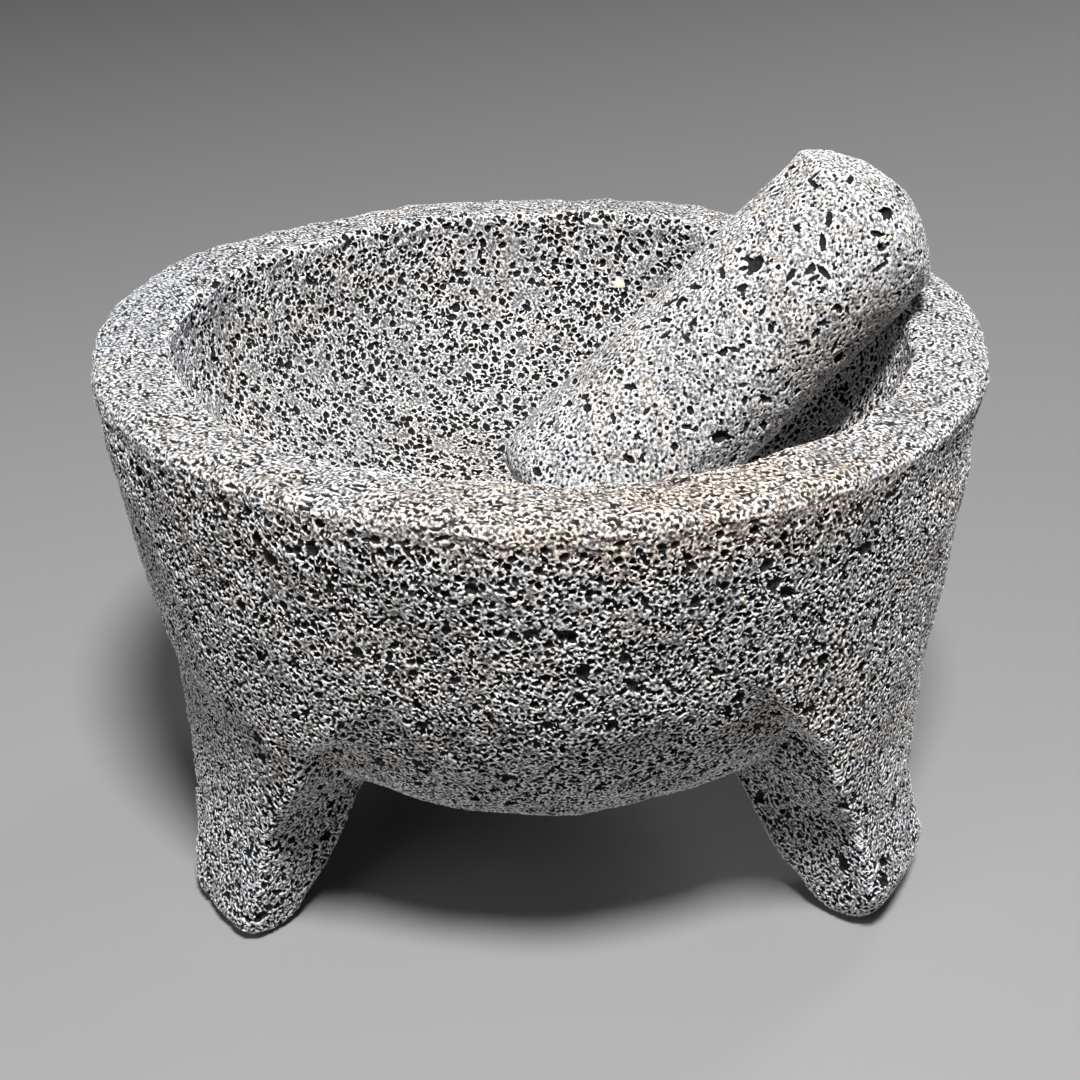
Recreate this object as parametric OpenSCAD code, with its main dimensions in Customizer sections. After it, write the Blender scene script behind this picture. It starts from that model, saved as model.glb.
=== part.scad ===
// Molcajete: a three-legged basalt mortar with its stone pestle, the tejolote.
// Millimetres, +Z up. The feet stand on Z = 0 and the bowl's axis is the Z axis.

/* [Bowl] */
// Radius of the bowl at its outer shoulder
rim_radius = 100; // [94:1:106]
// Radius of the mouth at the inner lip
mouth_radius = 83; // [79:0.5:84]
// Height of the inner lip above the ground
lip_height = 128; // [125:0.5:133]
// How far the rim falls from the inner lip to the outer shoulder
rim_fall = 4.5; // [3:0.5:7]
// Height of the lowest point of the belly above the ground
belly_height = 20.5; // [18:0.5:24]
// Height of the bowl's inner floor above the ground
floor_height = 68.5; // [65:0.5:72]

/* [Legs] */
// Half width of a leg's outer face just above the foot
foot_half_width = 11; // [10:0.5:13]
// Half width of a leg's outer face where it leaves the belly
leg_half_width = 31; // [28:1:34]
// Height at which a leg leaves the belly
leg_top = 49; // [46:1:53]
// Angle at which the side faces of a leg close in towards the bowl's axis
leg_toe_in = 14; // [8:1:18]
// Radial width of the flat worn on the underside of each foot
foot_flat = 4; // [3:0.5:5]

/* [Pestle] */
// Diameter of the pestle at its grip end
grip_diameter = 42; // [40:0.5:43]
// Diameter of the pestle at its grinding end
grind_diameter = 44; // [42:0.5:45]
// Length of the pestle's straight shaft, without its domed ends
shaft_length = 99; // [92:1:104]
// Lean of the pestle above the horizontal, in degrees
pestle_lean = 42; // [40:0.5:44]
// Direction that the pestle leans towards, in degrees from +X
pestle_heading = 16; // [0:1:40]

/* [Hidden] */

// Powers that set how square the curves of the stone are: 2 is an ellipse
belly_power = 2.3;
bowl_power = 2.2;
rim_power = 2.6;
// Radius of the rounding between the rim and the inside of the bowl
lip_round = 2;
// Steps used along each curved outline
curve_steps = 20;

// Direction of each leg in degrees from +X, and the radius at which its foot stands
legs = [[93, 82], [214, 80], [331, 85.5]];
// Rounding of the foot's outer edge seen from the side, and of its corners face on
foot_round = 7;
corner_round = 9;
// Height at which the outer face of a leg has run into the wall of the bowl
leg_blend_height = 100;

// Distance kept between the pestle and the stone that it leans on
rest_gap = 0.35;
// Height of the dome on the pestle's grip end
grip_dome = 10;
// Rounding at the corner of the grinding end, and the height of its shallow dome
grind_round = 8;
grind_dome = 2.5;
// How far the pestle's axis passes to one side of the bowl's axis
pestle_offset = -8;

// Height of the outer shoulder, where the outside of the bowl begins
shoulder_height = lip_height - rim_fall;
// Depth of the bowl below the rounding of its lip
bowl_depth = lip_height - lip_round - floor_height;

// A quarter of a superellipse with half axes a and b, at angle t from its top
function quarter(a, b, power, t) =
    [a * pow(sin(t), 2 / power), b * pow(cos(t), 2 / power)];

// A point at t from 0 to 1 along a cubic Bezier curve
function bezier(p0, p1, p2, p3, t) =
    pow(1 - t, 3) * p0 + 3 * t * pow(1 - t, 2) * p1 + 3 * t * t * (1 - t) * p2 + pow(t, 3) * p3;

// Height of the inside of the bowl at radius r
function inner_height(r) =
    floor_height + bowl_depth * (1 - pow(1 - pow(r / mouth_radius, bowl_power), 1 / bowl_power));

// Outer wall from the bottom of the belly up to the shoulder
belly_curve = [
    for (i = [0:curve_steps])
        let (p = quarter(rim_radius, shoulder_height - belly_height, belly_power, 90 * i / curve_steps))
            [p[0], shoulder_height - p[1]]
];

// Rim from the outer shoulder in to the lip
rim_width = rim_radius - mouth_radius - lip_round;
rim_curve = [
    for (t = [81:-9:0])
        let (p = quarter(rim_width, rim_fall, rim_power, t))
            [mouth_radius + lip_round + p[0], shoulder_height + p[1]]
];

// Rounded lip, from the top of the rim round to the inside wall
lip_curve = [
    for (a = [30:30:90])
        [mouth_radius + lip_round * (1 - sin(a)), lip_height - lip_round * (1 - cos(a))]
];

// Inside of the bowl from the lip down to the floor
bowl_curve = [
    for (i = [1:curve_steps])
        let (p = quarter(mouth_radius, bowl_depth, bowl_power, 90 - 90 * i / curve_steps))
            [p[0], lip_height - lip_round - p[1]]
];

// Radial section of a leg whose foot stands at radius reach: an upright outer
// face, a blunt foot, and an underside that arches in to the belly
function leg_section(reach) =
    let (toe = reach + foot_flat / 2, heel = reach - foot_flat / 2, out = toe + foot_round) concat(
        [for (a = [0:30:90]) [toe + foot_round * sin(a), foot_round * (1 - cos(a))]],
        [for (i = [1:10])
            bezier([out, foot_round], [out - 4, 28], [out - 5.5, 56], [rim_radius - 3.5, leg_blend_height], i / 10)],
        [[rim_radius - 14, leg_blend_height], [70, 66], [45, 48]],
        [for (i = [0:8]) bezier([51, 38], [64, 18], [71, 8], [heel, 0], i / 8)]
    );

// Face-on outline of one side of a leg: a rounded foot and a side that spreads
// upward, then flares into the belly; it reaches well past the leg's middle
foot_side = foot_half_width - corner_round;
leg_side_outline = concat(
    [[-leg_half_width * 2, 0]],
    [for (a = [0:30:60]) [foot_side + corner_round * sin(a), corner_round * (1 - cos(a))]],
    [[leg_half_width, leg_top], [leg_half_width + 6, leg_top + 13], [leg_half_width * 2, leg_blend_height - 5]],
    [[leg_half_width * 2, leg_blend_height + 5]],
    [[-leg_half_width * 2, leg_blend_height + 5]]
);

// Where the pestle lies, worked out in the upright plane that it leans in:
// over the lip, then down its axis until its heel is on the floor
lean_c = cos(pestle_lean);
lean_s = sin(pestle_lean);
grind_radius = grind_diameter / 2;
grip_radius = grip_diameter / 2;
lip_reach = sqrt(pow(mouth_radius, 2) - pow(pestle_offset, 2)) + lip_round;
axis_over_lip = lip_round + grip_radius * 0.8 + grind_radius * 0.2 + rest_gap;
axis_point = [lip_reach - axis_over_lip * lean_s, lip_height - lip_round + axis_over_lip * lean_c];
heel_height = inner_height(18) + rest_gap
    + grind_round * (1 - lean_s) + (grind_radius - grind_round) * lean_c;
heel_point = [axis_point[0] - (axis_point[1] - heel_height) * lean_c / lean_s, heel_height];

module leg_side() {
    rotate([0, 0, leg_toe_in])
    rotate([90, 0, 90])
    linear_extrude(height = rim_radius, center = true) polygon(leg_side_outline);
}

module leg(reach) {
    intersection() {
        rotate_extrude($fn = 96) polygon(leg_section(reach));
        translate([reach, 0, 0]) leg_side();
        translate([reach, 0, 0]) mirror([0, 1, 0]) leg_side();
    }
}

module mortar() {
    color("dimgray")
    union() {
        rotate_extrude($fn = 96) polygon(concat(belly_curve, rim_curve, lip_curve, bowl_curve));
        for (leg = legs) rotate([0, 0, leg[0]]) leg(leg[1]);
    }
}

// Half outline of the pestle, standing on its grinding end
dome_radius = (pow(grip_radius, 2) + pow(grip_dome, 2)) / (2 * grip_dome);
dome_angle = asin(grip_radius / dome_radius);
pestle_outline = concat(
    [[0, -grind_dome]],
    [for (a = [0:15:90])
        [grind_radius - grind_round * (1 - sin(a)), grind_round * (1 - cos(a))]],
    [for (i = [8:-1:0])
        let (a = dome_angle * i / 8)
            [dome_radius * sin(a), shaft_length + grip_dome - dome_radius * (1 - cos(a))]]
);

module tejolote() {
    color("darkgray")
    rotate([0, 0, pestle_heading])
    translate([heel_point[0], pestle_offset, heel_point[1]])
    rotate([0, 90 - pestle_lean, 0])
    rotate_extrude($fn = 96) polygon(pestle_outline);
}

mortar();
tejolote();
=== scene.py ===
"""Looks of a molcajete: a three-legged mortar of porous basalt, and its tejolote.

Both stones are built as signed distances in millimetres (negative inside), on voxels
near their surface. Bubbles are carved out of them, and the result is meshed.
"""

import itertools
import math
from collections import namedtuple

import bpy
import numpy as np
import openvdb
from mathutils import Matrix, Vector


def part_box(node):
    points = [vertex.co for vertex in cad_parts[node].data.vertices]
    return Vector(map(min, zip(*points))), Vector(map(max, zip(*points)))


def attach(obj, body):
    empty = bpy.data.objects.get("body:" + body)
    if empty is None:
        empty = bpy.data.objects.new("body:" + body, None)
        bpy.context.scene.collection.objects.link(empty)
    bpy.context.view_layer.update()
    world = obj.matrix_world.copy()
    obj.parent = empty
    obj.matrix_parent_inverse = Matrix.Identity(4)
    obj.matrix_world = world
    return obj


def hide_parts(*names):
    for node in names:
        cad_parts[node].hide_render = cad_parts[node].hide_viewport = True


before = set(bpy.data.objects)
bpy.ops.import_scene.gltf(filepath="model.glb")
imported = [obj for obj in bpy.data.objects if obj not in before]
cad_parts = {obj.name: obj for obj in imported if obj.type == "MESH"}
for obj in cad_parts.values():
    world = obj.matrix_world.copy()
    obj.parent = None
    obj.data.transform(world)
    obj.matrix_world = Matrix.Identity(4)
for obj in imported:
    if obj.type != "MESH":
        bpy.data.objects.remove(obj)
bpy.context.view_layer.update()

MM = 0.001
TINY = 1e-9  # keeps a division from failing

# Voxels: the size of one in mm, and how they are grouped
VOXEL = 0.33
BLOCK = 8  # voxels along a block, the unit in which the surface is kept
COARSE = 4  # voxels along a cell of the coarse grid that holds the plain shape
BAND_IN, BAND_OUT = 3.8, 0.8  # depth and height kept around the surface, in mm
ROOM = 2  # mm left around a stone
FAR = 9.0  # mm; stands for no bubble nearby
SHORTCUTS = 3  # times that labels are passed on through others, between two looks at the edges

# Bowl, in mm
RIM_RADIUS = 100.0
MOUTH_RADIUS = 83.0
LIP_HEIGHT = 128.0
RIM_FALL = 4.0
BELLY_HEIGHT = 20.5
FLOOR_HEIGHT = 68.5
LIP_ROUND = 2.0
BELLY_POWER, BOWL_POWER, RIM_POWER = 2.3, 2.2, 3.0
SHOULDER_HEIGHT = LIP_HEIGHT - RIM_FALL

# Bowl outline: where each curve begins or ends, in degrees along it, and its number of points
RIM_START, LIP_START, LIP_END, BOWL_START = 88, 202, 270, 86
BELLY_POINTS, RIM_POINTS, LIP_POINTS, BOWL_POINTS = 46, 14, 5, 44

# Legs: heading in degrees, how far out the foot stands and how round its toe is
LEGS = ((93, 82.0, 9.0), (214, 80.0, 8.0), (331, 85.5, 15.0))
LEG_HALF_WIDTH, LEG_TOP, LEG_TOE_IN = 27.0, 49.0, 14.0
FOOT_HALF_WIDTH, FOOT_FLAT, FOOT_ROUND, CORNER_ROUND = 13.5, 4.0, 7.0, 7.5
LEG_BLEND_HEIGHT = 100.0
TOE_OUT = 3.0

# A leg cut along its middle, as radius and height in mm. The front is a curve from the toe, pulled
# towards two points that are counted in from it, to just inside the rim's radius. The core and the
# back curve are places.
FRONT_LOW, FRONT_HIGH, FRONT_TOP_IN = (7, 26), (5.5, 56), 3.5
LEG_CORE = [[RIM_RADIUS - 14, LEG_BLEND_HEIGHT], [70, 66], [45, 48]]
BACK_TOP, BACK_HIGH, BACK_LOW = [51, 38], [64, 18], [71, 8]
TOE_POINTS, FRONT_STEPS, BACK_STEPS = 7, 20, 14

# A leg face on, in mm: its narrowing at the shin, its flare above, and the width beyond the bowl
SHIN_IN, SHIN_DOWN = 11, 19
FLARE_OUT, FLARE_UP = 6, 13
BEYOND, BLEND_HALF = 62, 5
CORNER_TURN, CORNER_POINTS = 70, 5

# How the legs are cut and joined, in mm
FOOT_SINK, SINK_TOP = 2.9, 25  # shaped this much too low at the floor, where they are worn flat
BEHIND = -40.0  # radius given to all that lies behind the axis, clear of the leg
LEG_EDGE, LEG_EDGE_LOW, LEG_EDGE_TOP = 1.8, 6, 20  # width of the rounded edges, and more at the foot
FILLET = 1  # where a leg meets the belly
FILLET_OUT, FILLET_RADII, FILLET_HEIGHTS = 9, (82, 95), (60, 95)  # more, where it runs into the wall

# Tejolote
GRIP_RADIUS, GRIND_RADIUS, SHAFT_LENGTH = 21.0, 22.0, 99.0
GRIP_DOME, GRIND_DOME, GRIND_ROUND = 10.0, 2.5, 8.0
DOME_POINTS, GRIND_POINTS = 16, 9
TEJOLOTE_TRIM = 0.25  # taken off all round in mm, because the relief stands out by about as much

# Uneven relief left by the hand tool: height and length in mm, random seed, and number of waves
MORTAR_RELIEF = ((0.7, 70, 1, 7), (0.28, 22, 2, 7), (0.16, 7, 3, 7))
TEJOLOTE_RELIEF = ((0.35, 45, 4, 7), (0.2, 14, 5, 7), (0.16, 5, 6, 7), (0.1, 2.6, 10, 12))
RELIEF_LOW, RELIEF_FULL = 0, 6  # heights in mm between which it fades out towards the floor
RIM_WAVES = (0.24, 8, 11, 7)
RIM_STREAKS = (0.22, 2.4, 12, 14)
STREAK_SQUEEZE = 0.35  # along the rim, so that the streaks are longer than they are wide
RIM_RELIEF_RADII, RIM_RELIEF_DEPTH = (76, 82), 9
WAVE_SPREAD = (0.7, 1.5)  # range of a wave's length, relative to the length given for all
WAVE_SHIFT = 6.28  # radians; a wave starts anywhere within about a turn

# Where the hand-cut bowl departs from the turned one, in mm, over ranges of height and radius in mm,
# and of heading in degrees from +X, or in names with FRONT from the front towards the right
WALL_TRIM, WALL_TRIM_RIGHT, WALL_TRIM_HEIGHTS = 1.1, 0.4, (76, 120)
SHOULDER_TRIM, SHOULDER_TRIM_FRONT, SHOULDER_TRIM_HEIGHTS = 2.4, (15, 125), (100, 132)
LEFT_FULL, LEFT_FULL_HEADINGS = 2.4, (124, 204)
RIGHT_FULL, RIGHT_FULL_FRONT = 3.2, (74, 142)
FULL_HEIGHTS = (108, 123)
OUTSIDE_RADII = (86, 92)
BELLY_RAISE, BELLY_RADII, BELLY_TOP = 2.5, (8, 76), 45

# Where the bowl's inside and the rim's pores begin, in mm
INSIDE_MARGIN, FLOOR_MARGIN = 1.5, 8
RIM_BAND, RIM_FADE = 2.5, 2.5  # the rim's pores begin this far below it, give or take as much

# Kinds of pores. In mm: spacing of the seeds, smallest radius and what is added to it at most, and the
# wall left between two. A higher power makes large ones rarer. In radii: how deep below the surface and
# how high above it they may lie. Longer is the range of how much longer than wide they are.
Pores = namedtuple("Pores", "spacing smallest spread power deepest highest longer wall",
                   defaults=(1, 0.7, 0.4, None, 0.3))
SPONGE = Pores(1.22, 0.5, 0.55, power=1.6, deepest=0.65, highest=0.3, longer=(1, 1.5), wall=0.28)
PINHOLES = Pores(0.88, 0.26, 0.26, deepest=0.5, highest=0.7, wall=0.12)
BOWL_PORES = Pores(1.2, 0.42, 0.58, power=1.3, deepest=0.6, highest=0.3, longer=(1, 1.8), wall=0.2)
STREAKS = Pores(1.15, 0.3, 0.3, deepest=-0.1, highest=0.8, longer=(2.0, 4.0), wall=0.1)
HOLLOWS = Pores(5.5, 0.85, 0.6, power=2, longer=(1, 1.7))
DOTS = Pores(0.95, 0.24, 0.34, power=1.5, deepest=0.6, highest=0.7, wall=0.2)
SLOTS = Pores(2.6, 0.42, 0.35, deepest=0.6, highest=0.2, longer=(1.2, 3.0))
CAVITIES = Pores(9.0, 0.9, 0.7, deepest=0.5, longer=(1.0, 1.8))
CRACKS = Pores(5.0, 0.4, 0.3, deepest=0.3, highest=0.6, longer=(2.5, 5.0))
RIM_PINHOLE_EXTRA = 0.1  # added to the radii of the rim's pinholes, in mm
BOWL_SHARE, BOWL_SHARE_VARIES = 0.85, (0.25, 14, 13)  # of the seeds; by so much, length in mm, seed
INNER_HOLLOWS, OUTER_HOLLOWS = 0.4, 0.9  # shares of the seeds that are kept
DOT_SHARE, SLOT_SHARE = 0.95, 0.7
STREAK_STRAY, CRACK_STRAY = 0.2, 0.4  # how far their directions stray from the common one
CRACK_LEAN, CRACK_HEIGHT = (0.3, 0, 1), 45
MORTAR_GRAIN, TEJOLOTE_GRAIN = 0.09, 0.07  # relief as fine as the voxels, in mm
SEED_INSET = 0.04  # of a seed's cell, kept free at its sides
SEED_DEPTH = 2.0  # how far in mm from the surface seeds lie
SLOPE_STEP = 1.5  # mm to both sides over which the surface's direction is measured

# Sheets for baked textures: width, and where the charts' origins lie, in mm
BAKE_MAP = "OFBake"
MORTAR_SHEET, TEJOLOTE_SHEET = 540, 170
BOWL_CHART, UNDER_CHART = (125, 410), (355, 395)
LEG_SIDE_CHART, LEG_SIDE_STEP = (285, 5), (70, 75)
LEG_BACK_CHART, LEG_BACK_STEP = (355, 230), 65
WALL_CHART, WALL_STEP, WALL_MIDDLES = 160, 140, (-90, 90)
TOP_CHART, GRIND_CHART, SHAFT_CHART = (25, 145), (75, 145), (70, 5)
DOWNWARD, INWARD, SIDEWAYS, ENDWAYS = -0.35, -0.35, 0.6, 0.75  # how far faces lean to belong there
BOWL_SPREAD, BOWL_MIDDLE, RIM_SPREAD = 0.7, 5, 0.5  # how steep parts are laid out flat
LEG_CHART_TOP = 72

# Pale grains: how many, radii in mm, where the bright core ends; and the large one in the bowl
GRAINS, GRAIN_RADII = 60, (0.3, 0.7)
GRAIN_CORE, GRAIN_EDGE = 0.8, 1.1
LARGE_GRAIN_HEADING, LARGE_GRAIN_OUT, LARGE_GRAIN_HEIGHT, LARGE_GRAIN_RADIUS = 75, 80, 110.5, 1.3

# Rubbed places look lighter, the rim and the bowl's inside: in mm, added to or taken off a ridge's height
WORN, UNWORN = 0.005, 0.004
WORN_RIM, WORN_INSIDE, WORN_HEIGHTS = 5, 2, (58, 62)

# Tint from bluish, 0, to brownish, 1
TINT_MIDDLE, TINT_WAVES = 0.5, ((0.07, 45, 8), (0.08, 9, 9))  # amount, length in mm, seed
WARM_RIM, WARM_RIM_HEADINGS = 0.42, (225, 330)
COOL_RIM, COOL_RIM_HEADINGS = 0.25, (120, 230)
RIM_TINT_DEPTH = 14
COOL_FEET, COOL_FEET_HEIGHTS = 0.2, (20, 60)

rng = np.random.default_rng(7)


# ---------------------------------------------------------------- outlines

def superellipse(a, b, power, angles):
    """Quarter of a superellipse with half axes a and b, at angles in degrees from its top."""
    t = np.radians(angles)
    return np.stack([a * np.sin(t) ** (2 / power), b * np.cos(t) ** (2 / power)], 1)


def bezier(points, steps):
    """Points along a cubic Bezier curve, ends included."""
    t = np.linspace(0, 1, steps + 1)[:, None]
    p0, p1, p2, p3 = np.array(points, float)
    return (1 - t) ** 3 * p0 + 3 * t * (1 - t) ** 2 * p1 + 3 * t**2 * (1 - t) * p2 + t**3 * p3


def arc(centre, radius, angles):
    """Points on a circle, at angles in degrees from its lowest point."""
    t = np.radians(angles)
    return np.stack([centre[0] + radius * np.sin(t), centre[1] + radius * (1 - np.cos(t))], 1)


def bowl_outline():
    """Radius and height around half of the bowl's section."""
    belly_turn = np.linspace(0, 90, BELLY_POINTS)
    belly = superellipse(RIM_RADIUS, SHOULDER_HEIGHT - BELLY_HEIGHT, BELLY_POWER, belly_turn)
    belly[:, 1] = SHOULDER_HEIGHT - belly[:, 1]
    rim_width = RIM_RADIUS - MOUTH_RADIUS - LIP_ROUND
    rim = superellipse(rim_width, RIM_FALL, RIM_POWER, np.linspace(RIM_START, 0, RIM_POINTS))
    rim += [MOUTH_RADIUS + LIP_ROUND, SHOULDER_HEIGHT]
    lip_foot = (MOUTH_RADIUS + LIP_ROUND, LIP_HEIGHT - 2 * LIP_ROUND)
    lip = arc(lip_foot, LIP_ROUND, np.linspace(LIP_START, LIP_END, LIP_POINTS))
    depth = LIP_HEIGHT - LIP_ROUND - FLOOR_HEIGHT
    bowl = superellipse(MOUTH_RADIUS, depth, BOWL_POWER, np.linspace(BOWL_START, 0, BOWL_POINTS))
    bowl[:, 1] = LIP_HEIGHT - LIP_ROUND - bowl[:, 1]
    return np.concatenate([belly, rim, lip, bowl])


def leg_section(reach, toe_round):
    """Radius and height around a leg cut along its middle."""
    toe, heel = reach + FOOT_FLAT / 2 + TOE_OUT, reach - FOOT_FLAT / 2
    out = toe + FOOT_ROUND
    front = ([out, toe_round], [out - FRONT_LOW[0], FRONT_LOW[1]],
             [out - FRONT_HIGH[0], FRONT_HIGH[1]], [RIM_RADIUS - FRONT_TOP_IN, LEG_BLEND_HEIGHT])
    return np.concatenate([
        arc((out - toe_round, 0), toe_round, np.linspace(0, 90, TOE_POINTS)),
        bezier(front, FRONT_STEPS)[1:],
        LEG_CORE,
        bezier((BACK_TOP, BACK_HIGH, BACK_LOW, [heel, 0]), BACK_STEPS),
    ])


def leg_side():
    """Half width and height up one side of a leg, seen face on."""
    corner = (FOOT_HALF_WIDTH - CORNER_ROUND, 0)
    return np.concatenate([
        [[-BEYOND, 0]],
        arc(corner, CORNER_ROUND, np.linspace(0, CORNER_TURN, CORNER_POINTS)),
        [[LEG_HALF_WIDTH - SHIN_IN, LEG_TOP - SHIN_DOWN],
         [LEG_HALF_WIDTH, LEG_TOP],
         [LEG_HALF_WIDTH + FLARE_OUT, LEG_TOP + FLARE_UP],
         [BEYOND, LEG_BLEND_HEIGHT - BLEND_HALF],
         [BEYOND, LEG_BLEND_HEIGHT + BLEND_HALF],
         [-BEYOND, LEG_BLEND_HEIGHT + BLEND_HALF]],
    ])


def tejolote_outline():
    """Radius and height around half of the tejolote, standing on its grinding end."""
    dome_radius = (GRIP_RADIUS**2 + GRIP_DOME**2) / (2 * GRIP_DOME)
    edge = math.degrees(math.asin(GRIP_RADIUS / dome_radius))
    dome = np.radians(np.linspace(edge, 0, DOME_POINTS))
    return np.concatenate([
        [[0, -GRIND_DOME]],
        arc((GRIND_RADIUS - GRIND_ROUND, 0), GRIND_ROUND, np.linspace(0, 90, GRIND_POINTS)),
        np.stack([dome_radius * np.sin(dome),
                  SHAFT_LENGTH + GRIP_DOME - dome_radius * (1 - np.cos(dome))], 1),
    ])


class Outline:
    """Signed distance to a closed outline, looked up in a table."""

    STEP = 0.5  # mm between the table's values
    MARGIN = 12  # mm that the table reaches beyond the outline
    LAST = 1.001  # keeps a lookup inside the last cell

    def __init__(self, outline, turned=False):
        if turned:  # the mirror image closes it, so that the axis isn't an edge
            outline = np.concatenate([outline, outline[::-1] * [-1, 1]])
        self.low = outline.min(0) - self.MARGIN
        size = np.ceil((outline.max(0) + self.MARGIN - self.low) / self.STEP).astype(int)
        axes = [self.low[i] + self.STEP * np.arange(size[i]) for i in (0, 1)]
        u, v = np.meshgrid(*axes, indexing="ij")
        nearest, inside = np.full(u.shape, np.inf), np.zeros(u.shape, bool)
        for (au, av), (bu, bv) in zip(outline, np.roll(outline, -1, 0)):
            eu, ev = bu - au, bv - av
            if eu == ev == 0:
                continue
            t = np.clip(((u - au) * eu + (v - av) * ev) / (eu * eu + ev * ev), 0, 1)
            nearest = np.minimum(nearest, (u - au - t * eu) ** 2 + (v - av - t * ev) ** 2)
            if ev:
                inside ^= ((av <= v) != (bv <= v)) & (u < au + (v - av) / ev * eu)
        self.table = np.where(inside, -1, 1) * np.sqrt(nearest)

    def __call__(self, u, v):
        """Distance at points given by radius or half width u, and height v."""
        p, q = (u - self.low[0]) / self.STEP, (v - self.low[1]) / self.STEP
        p = np.clip(p, 0, self.table.shape[0] - self.LAST)
        q = np.clip(q, 0, self.table.shape[1] - self.LAST)
        i, j = p.astype(int), q.astype(int)
        f, g = p - i, q - j
        t = self.table
        return ((1 - f) * ((1 - g) * t[i, j] + g * t[i, j + 1])
                + f * ((1 - g) * t[i + 1, j] + g * t[i + 1, j + 1]))


# ---------------------------------------------------------------- plain shapes

def smooth_union(a, b, width):
    """The nearer of two distances, with a fillet where they meet."""
    mix = np.clip(0.5 + 0.5 * (b - a) / width, 0, 1)
    return b + (a - b) * mix - width * mix * (1 - mix)


def smooth_cut(a, b, width):
    """What is inside both, with a rounded edge."""
    return -smooth_union(-a, -b, width)


def waves(x, y, z, length, seed, count=7):
    """Smooth random relief between about -1 and 1, with features of that length in mm."""
    draw = np.random.default_rng(seed)
    total = 0
    for _ in range(count):
        turn = draw.normal(size=3)
        turn *= 2 * math.pi / (length * draw.uniform(*WAVE_SPREAD)) / np.linalg.norm(turn)
        shift = draw.uniform(0, WAVE_SHIFT)
        total = total + np.sin(turn[0] * x + turn[1] * y + turn[2] * z + shift)
    return total / math.sqrt(count)


def hump(value, low, high):
    """Rises smoothly from 0 at low to 1 halfway to high, and falls back to 0."""
    return np.sin(math.pi * np.clip((value - low) / (high - low), 0, 1)) ** 2


def smoothstep(low, high, value):
    """Rises smoothly from 0 at low to 1 at high."""
    t = np.clip((value - low) / (high - low), 0, 1)
    return t * t * (3 - 2 * t)


BOWL = Outline(bowl_outline(), turned=True)
SIDE = Outline(leg_side())
SECTIONS = [Outline(leg_section(reach, toe_round)) for _, reach, toe_round in LEGS]
TEJOLOTE = Outline(tejolote_outline(), turned=True)


def relief(x, y, z, layers):
    """Sum of waves, each given by its height and length in mm, seed and number."""
    return sum(height * waves(x, y, z, length, seed, count) for height, length, seed, count in layers)


def rim_relief(x, y, z, r, angle):
    """Dressing marks on the rim: soft waves and fine streaks along it."""
    around = np.radians((angle - 90) % 360) * RIM_RADIUS
    marks = relief(x, y, z, [RIM_WAVES]) + relief(STREAK_SQUEEZE * around, r, z, [RIM_STREAKS])
    on_top = smoothstep(SHOULDER_HEIGHT - RIM_RELIEF_DEPTH, SHOULDER_HEIGHT, z)
    return marks * on_top * smoothstep(*RIM_RELIEF_RADII, r)


def bowl_shape(x, y, z, r, angle):
    """The turned bowl, trimmed and filled out where the hand-cut one departs from it."""
    from_front = (angle + 90) % 360
    trim = (WALL_TRIM + WALL_TRIM_RIGHT * x / RIM_RADIUS) * hump(z, *WALL_TRIM_HEIGHTS)
    trim += SHOULDER_TRIM * hump(from_front, *SHOULDER_TRIM_FRONT) * hump(z, *SHOULDER_TRIM_HEIGHTS)
    full = LEFT_FULL * hump(angle, *LEFT_FULL_HEADINGS) + RIGHT_FULL * hump(from_front, *RIGHT_FULL_FRONT)
    full *= smoothstep(*FULL_HEIGHTS, z)
    raised = BELLY_RAISE * hump(r, *BELLY_RADII) * (z < BELLY_TOP)
    return BOWL(r, z) + smoothstep(*OUTSIDE_RADII, r) * (trim - full) + raised


def leg_shape(x, y, z, r, leg, section):
    """Signed distance to one of the legs."""
    heading, reach, _ = leg
    a = math.radians(heading)
    out = x * math.cos(a) + y * math.sin(a)
    along = -x * math.sin(a) + y * math.cos(a)
    low = z + FOOT_SINK * (1 - smoothstep(0, SINK_TOP, z))
    stone = section(np.where(out > 0, r, BEHIND), low)
    toe_in = math.radians(LEG_TOE_IN)
    edge = LEG_EDGE + LEG_EDGE_LOW * (1 - smoothstep(0, LEG_EDGE_TOP, z))
    for side in (1, -1):
        across = math.cos(toe_in) * side * along - math.sin(toe_in) * (out - reach)
        stone = smooth_cut(stone, SIDE(across, low), edge)
    return stone


def mortar_shape(x, y, z):
    """Signed distance to the mortar, before it is made porous."""
    r = np.hypot(x, y)
    angle = np.degrees(np.arctan2(y, x)) % 360
    hand = relief(x, y, z, MORTAR_RELIEF) + rim_relief(x, y, z, r, angle)
    stone = bowl_shape(x, y, z, r, angle)
    fillet = FILLET + FILLET_OUT * smoothstep(*FILLET_RADII, r) * (1 - smoothstep(*FILLET_HEIGHTS, z))
    for leg, section in zip(LEGS, SECTIONS):
        stone = smooth_union(stone, leg_shape(x, y, z, r, leg, section), fillet)
    return np.maximum(stone + hand * smoothstep(RELIEF_LOW, RELIEF_FULL, z), -z)


def tejolote_shape(x, y, z):
    """Signed distance to the tejolote, standing on its grinding end along Z."""
    return TEJOLOTE(np.hypot(x, y), z) + TEJOLOTE_TRIM + relief(x, y, z, TEJOLOTE_RELIEF)


# ---------------------------------------------------------------- carving

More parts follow.
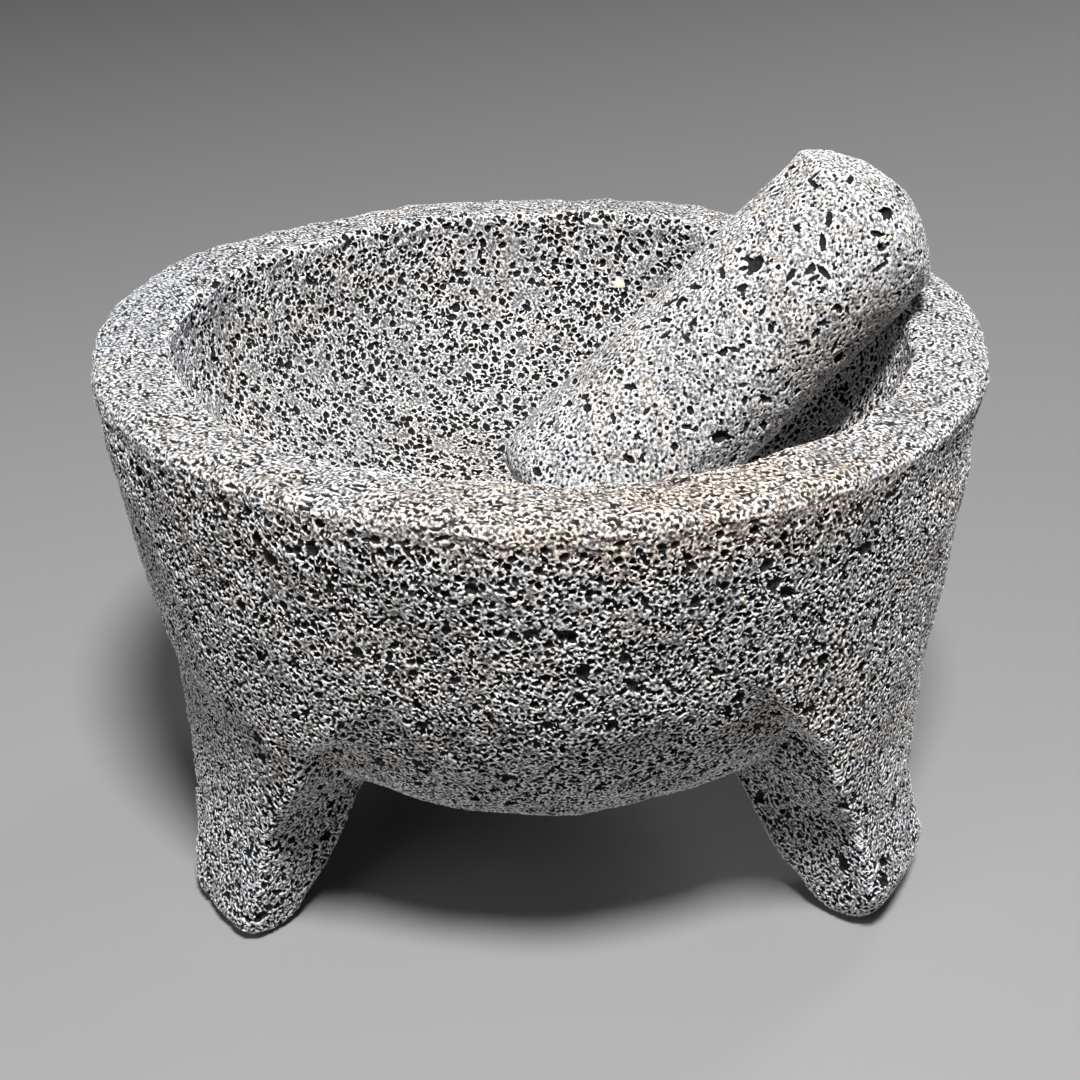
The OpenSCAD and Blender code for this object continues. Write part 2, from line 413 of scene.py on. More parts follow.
class Stone:
    """A shape on voxels near its surface, from which bubbles are carved."""

    def __init__(self, shape, low, high):
        self.low = np.floor(np.array(low) - ROOM)
        cell = VOXEL * COARSE
        per = BLOCK // COARSE
        self.count = np.ceil((np.array(high) + ROOM - self.low) / (VOXEL * BLOCK)).astype(int)
        axes = [self.low[i] + cell * np.arange(self.count[i] * per + 1) for i in range(3)]
        self.coarse = shape(*np.meshgrid(*axes, indexing="ij")).astype(np.float32)
        self.gradient = None
        corners = list(itertools.product(range(per + 1), repeat=3))
        near = np.stack([self.coarse[tuple(slice(c, c + per * n, per)
                                           for c, n in zip(corner, self.count))]
                         for corner in corners], -1)
        kept = (near.min(-1) < BAND_OUT) & (near.max(-1) > -BAND_IN)
        self.inside = near[..., 0] < 0
        self.places = np.argwhere(kept)
        self.index = np.full(self.count, -1)
        self.index[kept] = np.arange(len(self.places))
        samples = near[kept].reshape(-1, per + 1, per + 1, per + 1)
        t = np.arange(BLOCK) / COARSE
        blend = np.maximum(0, 1 - np.abs(t[:, None] - np.arange(per + 1))).astype(np.float32)
        self.solid = np.einsum("nabc,ia,jb,kc->nijk", samples, blend, blend, blend, optimize=True)

    def plain(self, points):
        """The plain shape's distance at points in mm."""
        p = (points - self.low) / (VOXEL * COARSE)
        i = np.clip(np.floor(p).astype(int), 0, np.array(self.coarse.shape) - 2)
        f = p - i
        total = np.zeros(len(points))
        for corner in itertools.product((0, 1), repeat=3):
            weight = np.prod(np.where(corner, f, 1 - f), axis=1)
            total += weight * self.coarse[tuple((i + corner).T)]
        return total

    def facing(self, points):
        """Direction straight out of the plain shape, to the nearest cell."""
        if self.gradient is None:
            self.gradient = np.stack(np.gradient(self.coarse), -1)
        cell = np.rint((points - self.low) / (VOXEL * COARSE)).astype(int)
        out = self.gradient[tuple(np.clip(cell, 0, np.array(self.coarse.shape) - 1).T)]
        return out / np.maximum(np.linalg.norm(out, axis=1, keepdims=True), TINY)

    def slope(self, points):
        """Direction straight out of the plain shape."""
        out = np.stack([self.plain(points + step) - self.plain(points - step)
                        for step in SLOPE_STEP * np.eye(3)], 1)
        return out / np.maximum(np.linalg.norm(out, axis=1, keepdims=True), TINY)

    def seeds(self, spacing):
        """Random points about so far apart in mm, in the layer near the surface."""
        side = VOXEL * BLOCK
        split = math.ceil(side / spacing)
        cells = np.array(list(itertools.product(range(split), repeat=3)))
        places = rng.uniform(SEED_INSET, 1 - SEED_INSET, (len(self.places), len(cells), 3))
        places = places + cells
        points = self.low + side * (self.places[:, None] + places / split).reshape(-1, 3)
        points = points[rng.random(len(points)) < (side / split / spacing) ** 3]
        depth = self.plain(points)
        layer = np.abs(depth) < SEED_DEPTH
        return points[layer], depth[layer]

    def roughen(self, amount):
        """Uneven relief as fine as the voxels, with a typical height in mm."""
        grain = rng.standard_normal(self.solid.shape, dtype=np.float32)
        self.solid += amount * grain

    def carve(self, centres, radii, wall, stretch=None):
        """Cuts bubbles out, and leaves a wall at least so thick between neighbours.

        stretch is a direction for each bubble, as long as how much longer it is along it.
        """
        near = np.full(self.solid.size, FAR, np.float32)
        second = near.copy()
        base = np.rint((centres - self.low) / VOXEL).astype(int)
        rest = base * VOXEL + self.low - centres
        longest = 1.0
        if stretch is not None:
            length = np.linalg.norm(stretch, axis=1)
            longest = length.max()
            along = stretch / length[:, None]
            flatten = 1 - 1 / length**2
        margin = wall + VOXEL
        reach = int(math.ceil((radii.max() * longest + margin) / VOXEL))
        for step in itertools.product(range(-reach, reach + 1), repeat=3):
            offset = np.array(step) * VOXEL
            if np.linalg.norm(offset) > radii.max() * longest + margin + VOXEL:
                continue
            away = rest + offset
            square = (away**2).sum(1)
            if stretch is not None:
                square = square - (away * along).sum(1) ** 2 * flatten
            distance = np.sqrt(np.maximum(square, 0)) - radii
            close = np.flatnonzero(distance < margin)
            if not len(close):
                continue
            voxel = base[close] + step
            block = voxel // BLOCK
            fits = ((block >= 0) & (block < self.count)).all(1)
            voxel, block, close = voxel[fits], block[fits], close[fits]
            row = self.index[tuple(block.T)]
            held = row >= 0
            local = (voxel[held] % BLOCK) @ (BLOCK * BLOCK, BLOCK, 1)
            flat = row[held] * BLOCK**3 + local
            value = distance[close[held]].astype(np.float32)
            first = near[flat]
            second[flat] = np.minimum(second[flat], np.maximum(first, value))
            near[flat] = np.minimum(first, value)
        bubble = np.maximum(near, (wall - (second - near)) / 2).reshape(self.solid.shape)
        self.solid = np.maximum(self.solid, -bubble)

    def mesh(self):
        """Vertices in mm and four-sided faces of the carved stone, as one closed piece."""
        edge = 2 * VOXEL
        grid = openvdb.FloatGrid(edge)
        value = np.clip(self.solid, -edge, edge)
        for layer in range(self.count[0]):
            side = np.where(self.inside[layer], -edge, edge).astype(np.float32)
            slab = np.repeat(np.repeat(side, BLOCK, 0), BLOCK, 1)[None].repeat(BLOCK, 0)
            for row in np.flatnonzero(self.places[:, 0] == layer):
                _, j, k = self.places[row] * BLOCK
                slab[:, j:j + BLOCK, k:k + BLOCK] = value[row]
            grid.copyFromArray(slab, ijk=(layer * BLOCK, 0, 0))
        points, faces = grid.convertToQuads(0.0)
        faces = faces.astype(np.int64)
        points = self.low + points.astype(float) * VOXEL
        kept = largest_piece(len(points), faces)
        faces = faces[kept[faces[:, 0]]]
        number = np.cumsum(kept) - 1
        return points[kept], number[faces]


def largest_piece(count, faces):
    """Marks the vertices of the connected piece that has the most of them."""
    label = np.arange(count)
    a, b = faces[:, :-1].ravel(), faces[:, 1:].ravel()
    while True:
        one, two = label[a], label[b]
        open_edges = one != two
        if not open_edges.any():
            break
        a, b, one, two = a[open_edges], b[open_edges], one[open_edges], two[open_edges]
        low = np.minimum(one, two)
        np.minimum.at(label, one, low)
        np.minimum.at(label, two, low)
        for _ in range(SHORTCUTS):
            label = label[label]
    return label == np.bincount(label).argmax()


def ridges(points, faces):
    """How far each vertex stands out from those around it, in mm: below zero in a hollow."""
    count = len(points)
    across = np.cross(points[faces[:, 2]] - points[faces[:, 0]],
                      points[faces[:, 3]] - points[faces[:, 1]])
    around, normal = np.zeros((2, count, 3))
    number = np.zeros(count)
    for one, two in zip(faces.T, np.roll(faces, -1, 1).T):
        number += np.bincount(one, minlength=count)
        for axis in range(3):
            around[:, axis] += np.bincount(one, points[two, axis], count)
            normal[:, axis] += np.bincount(one, across[:, axis], count)
    normal /= np.maximum(np.linalg.norm(normal, axis=1, keepdims=True), TINY)
    height = ((points - around / number[:, None]) * normal).sum(1)
    smooth = np.zeros(count)
    for one, two in zip(faces.T, np.roll(faces, -1, 1).T):
        smooth += np.bincount(one, height[two], count)
    return (height + smooth / number) / 2


# ---------------------------------------------------------------- pores

def pick(*chosen):
    """Keeps the rows of several arrays that a mask, the first argument, marks."""
    return [rows[chosen[0]] for rows in chosen[1:]]


def sizes(kind, count):
    """Random radii in mm."""
    return kind.smallest + kind.spread * rng.random(count) ** kind.power


def open_to_air(kind, depth, radii):
    """Marks bubbles that break through the surface."""
    return (depth > -kind.deepest * radii) & (depth < kind.highest * radii)


def tangents(out, towards):
    """Directions along the surface, as near as they can be to the given ones."""
    flat = towards - (towards * out).sum(1)[:, None] * out
    return flat / np.maximum(np.linalg.norm(flat, axis=1, keepdims=True), TINY)


def any_way(kind, count):
    """Random directions, as long as the bubbles are longer than wide."""
    towards = rng.normal(size=(count, 3))
    length = rng.uniform(*kind.longer, (count, 1))
    return towards * (length / np.linalg.norm(towards, axis=1, keepdims=True))


def along_surface(kind, stone, points, towards):
    """Directions in the surface, as long as the bubbles are longer than wide."""
    return tangents(stone.slope(points), towards) * rng.uniform(*kind.longer, (len(points), 1))


def in_bowl(points):
    """Marks points on the inside of the bowl."""
    r = np.hypot(points[:, 0], points[:, 1])
    return (r < MOUTH_RADIUS + INSIDE_MARGIN) & (points[:, 2] > FLOOR_HEIGHT - FLOOR_MARGIN)


def carve_mortar(stone):
    """Sponge-like pores outside, rounder and fewer ones in the bowl, shallow ones on the rim."""
    def zones(points):
        inner = in_bowl(points)
        fade = rng.uniform(-RIM_FADE, RIM_FADE, len(points))
        rim = ~inner & (points[:, 2] > SHOULDER_HEIGHT - RIM_BAND + fade)
        return inner, rim

    points, depth = stone.seeds(SPONGE.spacing)
    inner, rim = zones(points)
    radii = sizes(SPONGE, len(points))
    points, radii = pick(~inner & ~rim & open_to_air(SPONGE, depth, radii), points, radii)
    stone.carve(points, radii, SPONGE.wall, any_way(SPONGE, len(points)))

    points, depth = stone.seeds(PINHOLES.spacing)
    inner, rim = zones(points)
    radii = sizes(PINHOLES, len(points))
    radii[rim] += RIM_PINHOLE_EXTRA
    kept = ~inner & open_to_air(PINHOLES, depth, radii) & (~rim | (depth > 0))
    stone.carve(*pick(kept, points, radii), PINHOLES.wall)

    points, depth = stone.seeds(BOWL_PORES.spacing)
    inner, _ = zones(points)
    radii = sizes(BOWL_PORES, len(points))
    varies, length, seed = BOWL_SHARE_VARIES
    share = BOWL_SHARE + varies * waves(*points.T, length, seed)
    dense = rng.random(len(points)) < share
    points, radii = pick(inner & open_to_air(BOWL_PORES, depth, radii) & dense, points, radii)
    stone.carve(points, radii, BOWL_PORES.wall, any_way(BOWL_PORES, len(points)))

    points, depth = stone.seeds(STREAKS.spacing)
    _, rim = zones(points)
    radii = sizes(STREAKS, len(points))
    points, radii = pick(rim & open_to_air(STREAKS, depth, radii), points, radii)
    around = np.cross(points * (1, 1, 0), (0, 0, 1)) / RIM_RADIUS
    around = around + STREAK_STRAY * rng.normal(size=points.shape)
    stone.carve(points, radii, STREAKS.wall, along_surface(STREAKS, stone, points, around))

    points, depth = stone.seeds(HOLLOWS.spacing)
    inner, rim = zones(points)
    radii = sizes(HOLLOWS, len(points))
    share = np.where(inner, INNER_HOLLOWS, OUTER_HOLLOWS)
    kept = ~rim & open_to_air(HOLLOWS, depth, radii) & (rng.random(len(points)) < share)
    points, radii = pick(kept, points, radii)
    towards = rng.normal(size=points.shape)
    stone.carve(points, radii, HOLLOWS.wall, along_surface(HOLLOWS, stone, points, towards))
    stone.roughen(MORTAR_GRAIN)


def carve_tejolote(stone):
    """Sparse small pores, slots, a few large cavities, and long cracks towards the grip."""
    points, depth = stone.seeds(DOTS.spacing)
    radii = sizes(DOTS, len(points))
    kept = open_to_air(DOTS, depth, radii) & (rng.random(len(points)) < DOT_SHARE)
    stone.carve(*pick(kept, points, radii), DOTS.wall)

    points, depth = stone.seeds(SLOTS.spacing)
    radii = sizes(SLOTS, len(points))
    kept = open_to_air(SLOTS, depth, radii) & (rng.random(len(points)) < SLOT_SHARE)
    points, radii = pick(kept, points, radii)
    towards = rng.normal(size=points.shape)
    stone.carve(points, radii, SLOTS.wall, along_surface(SLOTS, stone, points, towards))

    points, depth = stone.seeds(CAVITIES.spacing)
    radii = sizes(CAVITIES, len(points))
    points, radii = pick(open_to_air(CAVITIES, depth, radii), points, radii)
    towards = rng.normal(size=points.shape)
    stone.carve(points, radii, CAVITIES.wall, along_surface(CAVITIES, stone, points, towards))

    points, depth = stone.seeds(CRACKS.spacing)
    radii = sizes(CRACKS, len(points))
    kept = open_to_air(CRACKS, depth, radii) & (points[:, 2] > CRACK_HEIGHT)
    points, radii = pick(kept, points, radii)
    towards = CRACK_LEAN + CRACK_STRAY * rng.normal(size=points.shape)
    stone.carve(points, radii, CRACKS.wall, along_surface(CRACKS, stone, points, towards))
    stone.roughen(TEJOLOTE_GRAIN)


# ---------------------------------------------------------------- meshes

def add_float(mesh, name, values):
    """Keeps a value for each vertex, for the material to read."""
    mesh.attributes.new(name, "FLOAT", "POINT").data.foreach_set("value", values.astype(np.float32))


def flat_bowl(p):
    """Lays the bowl's inside out around its middle, with room for its steep wall."""
    across = np.maximum(np.hypot(p[..., :1], p[..., 1:2]), BOWL_MIDDLE)
    return p[..., :2] * (1 + BOWL_SPREAD * (p[..., 2:] - FLOOR_HEIGHT) / across)


def flat_from_above(p):
    """Lays out what faces up or down."""
    return p[..., :2]


def flat_upright(direction):
    """Lays out what is upright, by its place along a level direction and its height."""
    def lie(p):
        return np.stack([p[..., :2] @ direction, p[..., 2]], -1)
    return lie


def flat_wall(middle):
    """Unrolls the wall and the rim around the axis, to both sides of a heading."""
    def lie(p):
        angle = (np.degrees(np.arctan2(p[..., 1], p[..., 0])) - middle + 180) % 360 - 180
        height = p[..., 2] + RIM_SPREAD * (RIM_RADIUS - np.hypot(p[..., 0], p[..., 1]))
        return np.stack([np.radians(angle) * RIM_RADIUS, height], -1)
    return lie


def flat_shaft(p):
    """Unrolls the tejolote's side around its axis."""
    return np.stack([np.arctan2(p[..., 1], p[..., 0]) * GRIP_RADIUS, p[..., 2]], -1)


def mortar_charts(stone, corners):
    """Flat charts of the mortar for baking: which faces, their place on the sheet, and how they lie.

    corners holds one corner of each face, in mm.
    """
    y, z = corners[:, 1], corners[:, 2]
    out = stone.facing(corners)
    inner = in_bowl(corners)
    under = ~inner & (out[:, 2] < DOWNWARD)
    charts = [(inner, BOWL_CHART, flat_bowl), (under, UNDER_CHART, flat_from_above)]
    free = ~inner & ~under
    for number, (heading, _, _) in enumerate(LEGS):
        a = math.radians(heading)
        ahead, left = np.array([math.cos(a), math.sin(a)]), np.array([-math.sin(a), math.cos(a)])
        near = free & (z < LEG_CHART_TOP) & (corners[:, :2] @ ahead > abs(corners[:, :2] @ left))
        lean = out[:, :2] @ left
        for side in (0, 1):
            mask = near & ((2 * side - 1) * lean > SIDEWAYS)
            place = np.array(LEG_SIDE_CHART) + np.array(LEG_SIDE_STEP) * (side, number)
            charts.append((mask, place, flat_upright(ahead)))
        mask = near & (abs(lean) <= SIDEWAYS) & (out[:, :2] @ ahead < INWARD)
        place = (LEG_BACK_CHART[0] + LEG_BACK_STEP * number, LEG_BACK_CHART[1])
        charts.append((mask, place, flat_upright(left)))
    for mask, _, _ in charts:
        free &= ~mask
    for half, middle in enumerate(WALL_MIDDLES):
        charts.append((free & ((y > 0) == half), (WALL_CHART, WALL_STEP * half), flat_wall(middle)))
    return charts


def tejolote_charts(stone, corners):
    """Flat charts of the tejolote, as for the mortar."""
    out = stone.facing(corners)
    top, foot = out[:, 2] > ENDWAYS, out[:, 2] < -ENDWAYS
    return [(top, TOP_CHART, flat_from_above), (foot, GRIND_CHART, flat_from_above),
            (~top & ~foot, SHAFT_CHART, flat_shaft)]


def add_bake_map(mesh, charts, size, points, faces):
    """The flat charts as the UV map that textures are baked to, on a sheet size mm wide."""
    flat = np.zeros((len(faces), 4, 2), np.float32)
    for mask, place, lie in charts:
        flat[mask] = lie(points[faces[mask]]) + place
    mesh.uv_layers.new(name=BAKE_MAP).data.foreach_set("uv", np.clip(flat / size, 0, 1).ravel())


def grains(points, centres, radii):
    """How much each vertex lies in one of the pale grains, from 0 to 1."""
    pale = np.zeros(len(points))
    for centre, radius in zip(centres, radii):
        near = np.flatnonzero(np.abs(points[:, 0] - centre[0]) < GRAIN_EDGE * radius)
        away = np.linalg.norm(points[near] - centre, axis=1)
        fades = smoothstep(GRAIN_CORE * radius, GRAIN_EDGE * radius, away)
        pale[near] = np.maximum(pale[near], 1 - fades)
    return pale


def warmth(name, points):
    """Tint of the stone, from 0 for bluish to 1 for brownish."""
    x, y, z = points.T
    tint = TINT_MIDDLE
    for amount, length, seed in TINT_WAVES:
        tint = tint + amount * waves(x, y, z, length, seed)
    if name == "mortar_stone":
        rim = smoothstep(SHOULDER_HEIGHT - RIM_TINT_DEPTH, SHOULDER_HEIGHT, z)
        angle = np.degrees(np.arctan2(y, x)) % 360
        tint += rim * (WARM_RIM * hump(angle, *WARM_RIM_HEADINGS)
                       - COOL_RIM * hump(angle, *COOL_RIM_HEADINGS))
        tint -= COOL_FEET * (1 - smoothstep(*COOL_FEET_HEIGHTS, z))
    return tint


def worn(points):
    """How much rubbing lifts each vertex of the mortar, in mm: the rim and the bowl's inside."""
    r, z = np.hypot(points[:, 0], points[:, 1]), points[:, 2]
    on_rim = smoothstep(SHOULDER_HEIGHT - WORN_RIM, SHOULDER_HEIGHT, z)
    inside = 1 - smoothstep(MOUTH_RADIUS, MOUTH_RADIUS + WORN_INSIDE, r)
    return WORN * (np.maximum(on_rim, inside) * smoothstep(*WORN_HEIGHTS, z)) - UNWORN


def build(name, stone, place):
    """A Blender object from a carved stone; place is the matrix from mm at rest to the frame."""
    points, faces = stone.mesh()
    charts, sheet = tejolote_charts, TEJOLOTE_SHEET
    if name == "mortar_stone":
        charts, sheet = mortar_charts, MORTAR_SHEET
        points[:, 2] = np.maximum(points[:, 2], 0)  # nothing is lower than the feet
    depth = stone.plain(points)
    ridge = ridges(points, faces)
    if name == "mortar_stone":
        ridge += worn(points)
    world = points @ np.array(place)[:3, :3].T + np.array(place)[:3, 3]
    mesh = bpy.data.meshes.new(name)
    mesh.vertices.add(len(points))
    mesh.vertices.foreach_set("co", world.astype(np.float32).ravel())
    mesh.loops.add(faces.size)
    mesh.loops.foreach_set("vertex_index", faces.astype(np.int32).ravel())
    mesh.polygons.add(len(faces))
    mesh.polygons.foreach_set("loop_start", np.arange(0, faces.size, 4, dtype=np.int32))
    mesh.polygons.foreach_set("use_smooth", np.ones(len(faces), bool))
    # depth drives painted shade in the pores; ridge drives painted highlights on crests and painted shade
    # in hollows
    add_float(mesh, "depth", depth)
    add_float(mesh, "ridge", ridge)
    add_float(mesh, "warmth", warmth(name, points))
    centres = points[rng.choice(len(points), GRAINS)]
    radii = rng.uniform(*GRAIN_RADII, len(centres))
    if name == "mortar_stone":
        a = math.radians(LARGE_GRAIN_HEADING)
        centres[0] = (LARGE_GRAIN_OUT * math.cos(a), LARGE_GRAIN_OUT * math.sin(a), LARGE_GRAIN_HEIGHT)
        radii[0] = LARGE_GRAIN_RADIUS
    add_float(mesh, "pale", grains(points, centres, radii))
    add_bake_map(mesh, charts(stone, points[faces[:, 0]]), sheet, points, faces)
    mesh.update(calc_edges=True)
    mesh.validate()
    obj = bpy.data.objects.new(name, mesh)
    bpy.context.collection.objects.link(obj)
    return obj


def turned_place(node):
    """Matrix from a turned solid standing on the origin, in mm, to where its CAD node lies."""
    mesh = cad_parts[node].data
    count = len(mesh.polygons)
    centres, areas = np.empty(3 * count), np.empty(count)
    mesh.polygons.foreach_get("center", centres)
    mesh.polygons.foreach_get("area", areas)
    centres = centres.reshape(-1, 3)
    middle = np.average(centres, axis=0, weights=areas)
    spread = np.cov((centres - middle).T, aweights=areas)
    axis = np.linalg.eigh(spread)[1][:, -1]
    axis *= np.sign(axis[2])
    corners = np.empty(3 * len(mesh.vertices))
    mesh.vertices.foreach_get("co", corners)
    reach = (corners.reshape(-1, 3) - middle) @ axis
    foot = Vector(middle + axis * (reach.min() + GRIND_DOME * MM))
    turn = Vector((0, 0, 1)).rotation_difference(Vector(axis)).to_matrix().to_4x4()
    return Matrix.Translation(foot) @ turn @ Matrix.Scale(MM, 4)


# ---------------------------------------------------------------- materials

# Nodes lie in rows, in the order in which they are made
NODE_STEP, NODES_IN_ROW = 260, 6

# Noises: scale per metre, detail and roughness
SPECKLE_NOISE = (1300, 3, 0.75)
TONE_NOISE = (60, 4)
MINERAL_NOISE = (420, 2)
ROUGH_NOISE = (900,)
GRAIN_NOISE = (2600, 4, 0.7)

# Colour ramps: place and colour of each stop
TONE = ((0.3, (0.72, 0.72, 0.72)), (0.5, (0.95, 0.95, 0.95)), (0.72, (1.0, 1.0, 1.0)))
TINT = ((0.0, (0.88, 0.93, 1.0)), (0.5, (0.985, 0.975, 0.985)), (1.0, (1.0, 0.84, 0.73)))
MINERAL = ((0.36, (0.94, 0.97, 1.0)), (0.5, (1.0, 1.0, 1.0)), (0.64, (1.0, 0.97, 0.92)))
# Painted shade: pores darken towards near black with depth below the plain surface, standing in for the
# shade inside them
PAINTED_SHADE = ((0.0, (0.02, 0.019, 0.018)), (0.5, (0.08, 0.076, 0.072)), (1.0, (1, 1, 1)))
ROUGHNESS = ((0.3, (0.7, 0.7, 0.7)), (0.7, (0.95, 0.95, 0.95)))

GREY = (1.0, 0.995, 0.99)
PALE = (0.9, 0.8, 0.6)
SPECKLE_MIDDLE, SPECKLE_LIGHT_SIDE = 0.5, 1.25
PAINTED_SHADE_END = -0.1  # depth in mm at which the painted shade of the pores ends
BUMP_STRENGTH, BUMP_HEIGHT = 0.5, 0.0002


def node(tree, kind, **settings):
    """A shader node; settings name its properties, or its inputs with an in_ before them."""
    made = tree.nodes.new(kind)
    row, column = divmod(len(tree.nodes), NODES_IN_ROW)
    made.location = (NODE_STEP * column, -NODE_STEP * row)
    for key, value in settings.items():
        if key.startswith("in_"):
            made.inputs[key[3:]].default_value = value
        else:
            setattr(made, key, value)
    return made


def attribute(tree, name):
    """A value that the mesh keeps for each vertex."""
    return node(tree, "ShaderNodeAttribute", attribute_name=name).outputs["Fac"]


def ramp(tree, source, stops):
    """Colour from a value, by stops of a place and a colour."""
    made = node(tree, "ShaderNodeValToRGB")
    elements = made.color_ramp.elements
    for place, _ in stops[1:-1]:
        elements.new(place)
    for element, (place, colour) in zip(elements, stops):
        element.position = place
        element.color = (*colour, 1)
    tree.links.new(source, made.inputs["Fac"])
    return made.outputs["Color"]


def noise(tree, where, scale, detail=3.0, rough=0.6):
    """Noise between 0 and 1."""
    made = node(tree, "ShaderNodeTexNoise", in_Scale=scale, in_Detail=detail, in_Roughness=rough)
    tree.links.new(where, made.inputs["Vector"])
    return made.outputs["Fac"]


def mix(tree, kind, amount, one, two):
    """Colour mix; amount is a number or a socket, two a colour or a socket."""
    made = node(tree, "ShaderNodeMix", data_type="RGBA", blend_type=kind)
    one_input, two_input = [s for s in made.inputs if s.type == "RGBA"]
    tree.links.new(one, one_input)
    if isinstance(amount, bpy.types.NodeSocket):
        tree.links.new(amount, made.inputs[0])
    else:
        made.inputs[0].default_value = amount
    if isinstance(two, bpy.types.NodeSocket):
        tree.links.new(two, two_input)
    else:
        two_input.default_value = (*two, 1)
    return [s for s in made.outputs if s.type == "RGBA"][0]


def basalt(name, dark, middle, bright, spread, painted_shade_depth, ridge_light_and_shade_gain):
    """Grey basalt: speckled, with grain, with painted shade near black deep in its pores, and painted
    highlights on ridges with painted shade in hollows.
    """
    material = bpy.data.materials.new(name)
    material.use_nodes = True
    tree = material.node_tree
    shader = tree.nodes["Principled BSDF"]
    shader.inputs["Metallic"].default_value = 0.0
    where = node(tree, "ShaderNodeTexCoord").outputs["Object"]
    places = (SPECKLE_MIDDLE - spread, SPECKLE_MIDDLE, SPECKLE_MIDDLE + SPECKLE_LIGHT_SIDE * spread)
    greys = [tuple(c * level for c in GREY) for level in (dark, middle, bright)]
    ridge = attribute(tree, "ridge")
    # Painted highlight and shade: ridges lift the colour towards bright and hollows push it towards dark,
    # as light and shade would, on top of the speckle
    speckle_and_ridge_light = node(tree, "ShaderNodeMath", operation="MULTIPLY_ADD")
    tree.links.new(ridge, speckle_and_ridge_light.inputs[0])
    speckle_and_ridge_light.inputs[1].default_value = ridge_light_and_shade_gain
    tree.links.new(noise(tree, where, *SPECKLE_NOISE), speckle_and_ridge_light.inputs[2])
    colour = ramp(tree, speckle_and_ridge_light.outputs["Value"], list(zip(places, greys)))
    tone = ramp(tree, noise(tree, where, *TONE_NOISE), TONE)
    colour = mix(tree, "MULTIPLY", 1.0, colour, tone)
    tint = ramp(tree, attribute(tree, "warmth"), TINT)
    colour = mix(tree, "MULTIPLY", 1.0, colour, tint)
    mineral = ramp(tree, noise(tree, where, *MINERAL_NOISE), MINERAL)
    colour = mix(tree, "MULTIPLY", 1.0, colour, mineral)
    # Painted shade: the deeper below the plain surface, the darker, standing in for the shade inside the
    # pores
    depth = attribute(tree, "depth")
    scaled = node(tree, "ShaderNodeMapRange")
    scaled.inputs["From Min"].default_value = -painted_shade_depth
    scaled.inputs["From Max"].default_value = PAINTED_SHADE_END
    tree.links.new(depth, scaled.inputs["Value"])
    colour = mix(tree, "MULTIPLY", 1.0, colour, ramp(tree, scaled.outputs["Result"], PAINTED_SHADE))
    colour = mix(tree, "MIX", attribute(tree, "pale"), colour, PALE)
    tree.links.new(colour, shader.inputs["Base Color"])
    rough = ramp(tree, noise(tree, where, *ROUGH_NOISE), ROUGHNESS)
    tree.links.new(rough, shader.inputs["Roughness"])
    grain = node(tree, "ShaderNodeBump", in_Strength=BUMP_STRENGTH, in_Distance=BUMP_HEIGHT)
    tree.links.new(noise(tree, where, *GRAIN_NOISE), grain.inputs["Height"])
    tree.links.new(grain.outputs["Normal"], shader.inputs["Normal"])
    return material


# ---------------------------------------------------------------- studio

FLOOR_HALF, FLOOR_COLOUR, FLOOR_ROUGHNESS = 8.0, (0.3, 0.3, 0.3, 1), 0.9

# Lights: name, place and size in metres, and power in watts; they point at LIT
LIGHTS = (("key", (0.05, -0.52, 1.0), 0.2, 18),
          ("fill", (-0.85, -0.95, 0.75), 0.8, 2.6),
          ("back", (0.8, 1.0, 0.85), 0.5, 5))
LIT = (0, 0, 0.08)
SKY_COLOUR, SKY_STRENGTH = (1, 1, 1, 1), 0.03

# Camera: what it looks at, in mm from the mortar's middle at the floor; its distance in metres and
# elevation in degrees; sensor width and lens in mm, and the nearest that it sees in metres
AIM_RIGHT, AIM_HEIGHT = -0.3, 73
CAMERA_DISTANCE, CAMERA_ELEVATION = 0.460, 27.05
SENSOR_WIDTH, LENS, CLIP_START = 36.0, 63.83, 0.01


def plain_floor():
    """Wide pale floor under the object."""
    mesh = bpy.data.meshes.new("floor")
    corners = [(x * FLOOR_HALF, y * FLOOR_HALF, 0) for x, y in ((-1, -1), (1, -1), (1, 1), (-1, 1))]
    mesh.from_pydata(corners, [], [(0, 1, 2, 3)])
    floor = bpy.data.objects.new("floor", mesh)
    bpy.context.collection.objects.link(floor)
    material = bpy.data.materials.new("floor_paint")
    material.use_nodes = True
    shader = material.node_tree.nodes["Principled BSDF"]
    shader.inputs["Base Color"].default_value = FLOOR_COLOUR
    shader.inputs["Roughness"].default_value = FLOOR_ROUGHNESS
    mesh.materials.append(material)


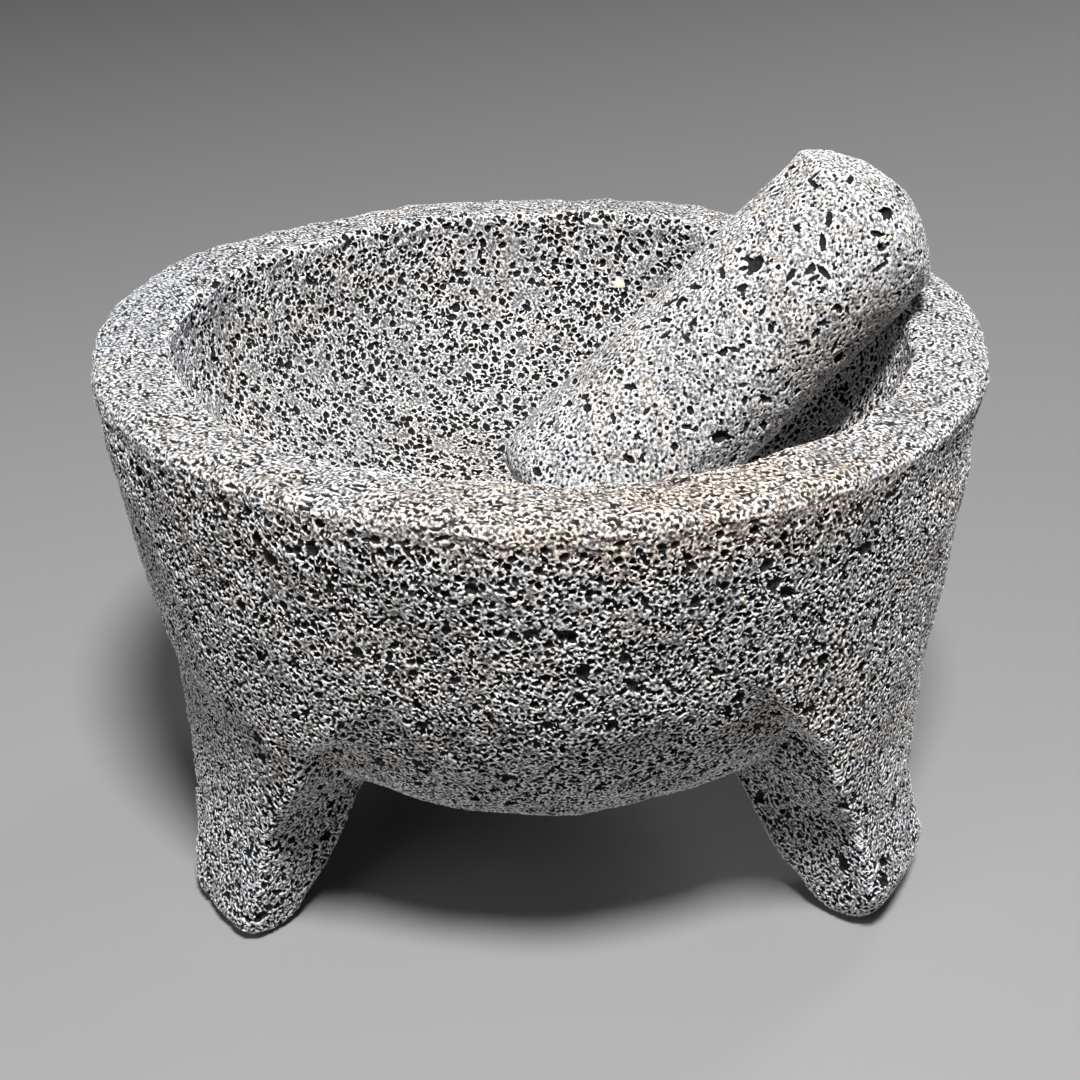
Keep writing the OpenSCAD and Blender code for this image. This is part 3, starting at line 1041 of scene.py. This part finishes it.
def area_light(name, place, size, power):
    """A round soft light that points at the object."""
    data = bpy.data.lights.new(name, "AREA")
    data.shape = "DISK"
    data.size = size
    data.energy = power
    light = bpy.data.objects.new(name, data)
    light.location = place
    light.rotation_euler = (Vector(place) - Vector(LIT)).to_track_quat("Z", "Y").to_euler()
    bpy.context.collection.objects.link(light)


def studio():
    """Soft light from above, a faint fill, a light from the back, and the camera."""
    for light in LIGHTS:
        area_light(*light)
    world = bpy.data.worlds.new("studio")
    world.use_nodes = True
    world.node_tree.nodes["Background"].inputs["Color"].default_value = SKY_COLOUR
    world.node_tree.nodes["Background"].inputs["Strength"].default_value = SKY_STRENGTH
    bpy.context.scene.world = world
    bpy.context.scene.view_settings.view_transform = "Standard"

    low, high = (Vector(corner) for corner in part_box("mortar"))
    target = Vector(((low.x + high.x) / 2 + AIM_RIGHT * MM, (low.y + high.y) / 2,
                     low.z + AIM_HEIGHT * MM))
    elevation = math.radians(CAMERA_ELEVATION)
    data = bpy.data.cameras.new("camera")
    data.sensor_width = SENSOR_WIDTH
    data.lens = LENS
    data.clip_start = CLIP_START
    camera = bpy.data.objects.new("camera", data)
    camera.location = target + CAMERA_DISTANCE * Vector((0, -math.cos(elevation), math.sin(elevation)))
    camera.rotation_euler = (math.radians(90) - elevation, 0, 0)
    bpy.context.collection.objects.link(camera)
    bpy.context.scene.camera = camera


# ---------------------------------------------------------------- scene

# The corners of each stone's box, in mm
MORTAR_BOX = (-102, -102, 0), (102, 102, 130)
TEJOLOTE_BOX = (-23, -23, -4), (23, 23, 110)

mortar_block = Stone(mortar_shape, *MORTAR_BOX)
carve_mortar(mortar_block)
mortar = build("mortar_stone", mortar_block, Matrix.Scale(MM, 4))
# The last two settings paint shade deep in the pores, and highlights on ridges with shade in hollows
mortar.data.materials.append(basalt("mortar_basalt", dark=0.03, middle=0.2, bright=1.0,
                                    spread=0.18, painted_shade_depth=0.6, ridge_light_and_shade_gain=6.5))
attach(mortar, "mortar")
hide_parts("mortar")

tejolote_block = Stone(tejolote_shape, *TEJOLOTE_BOX)
carve_tejolote(tejolote_block)
tejolote = build("tejolote_stone", tejolote_block, turned_place("tejolote"))
tejolote.data.materials.append(basalt("tejolote_basalt", dark=0.05, middle=0.31, bright=1.0,
                                      spread=0.12, painted_shade_depth=0.5, ridge_light_and_shade_gain=5.0))
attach(tejolote, "tejolote")
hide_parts("tejolote")

plain_floor()
studio()
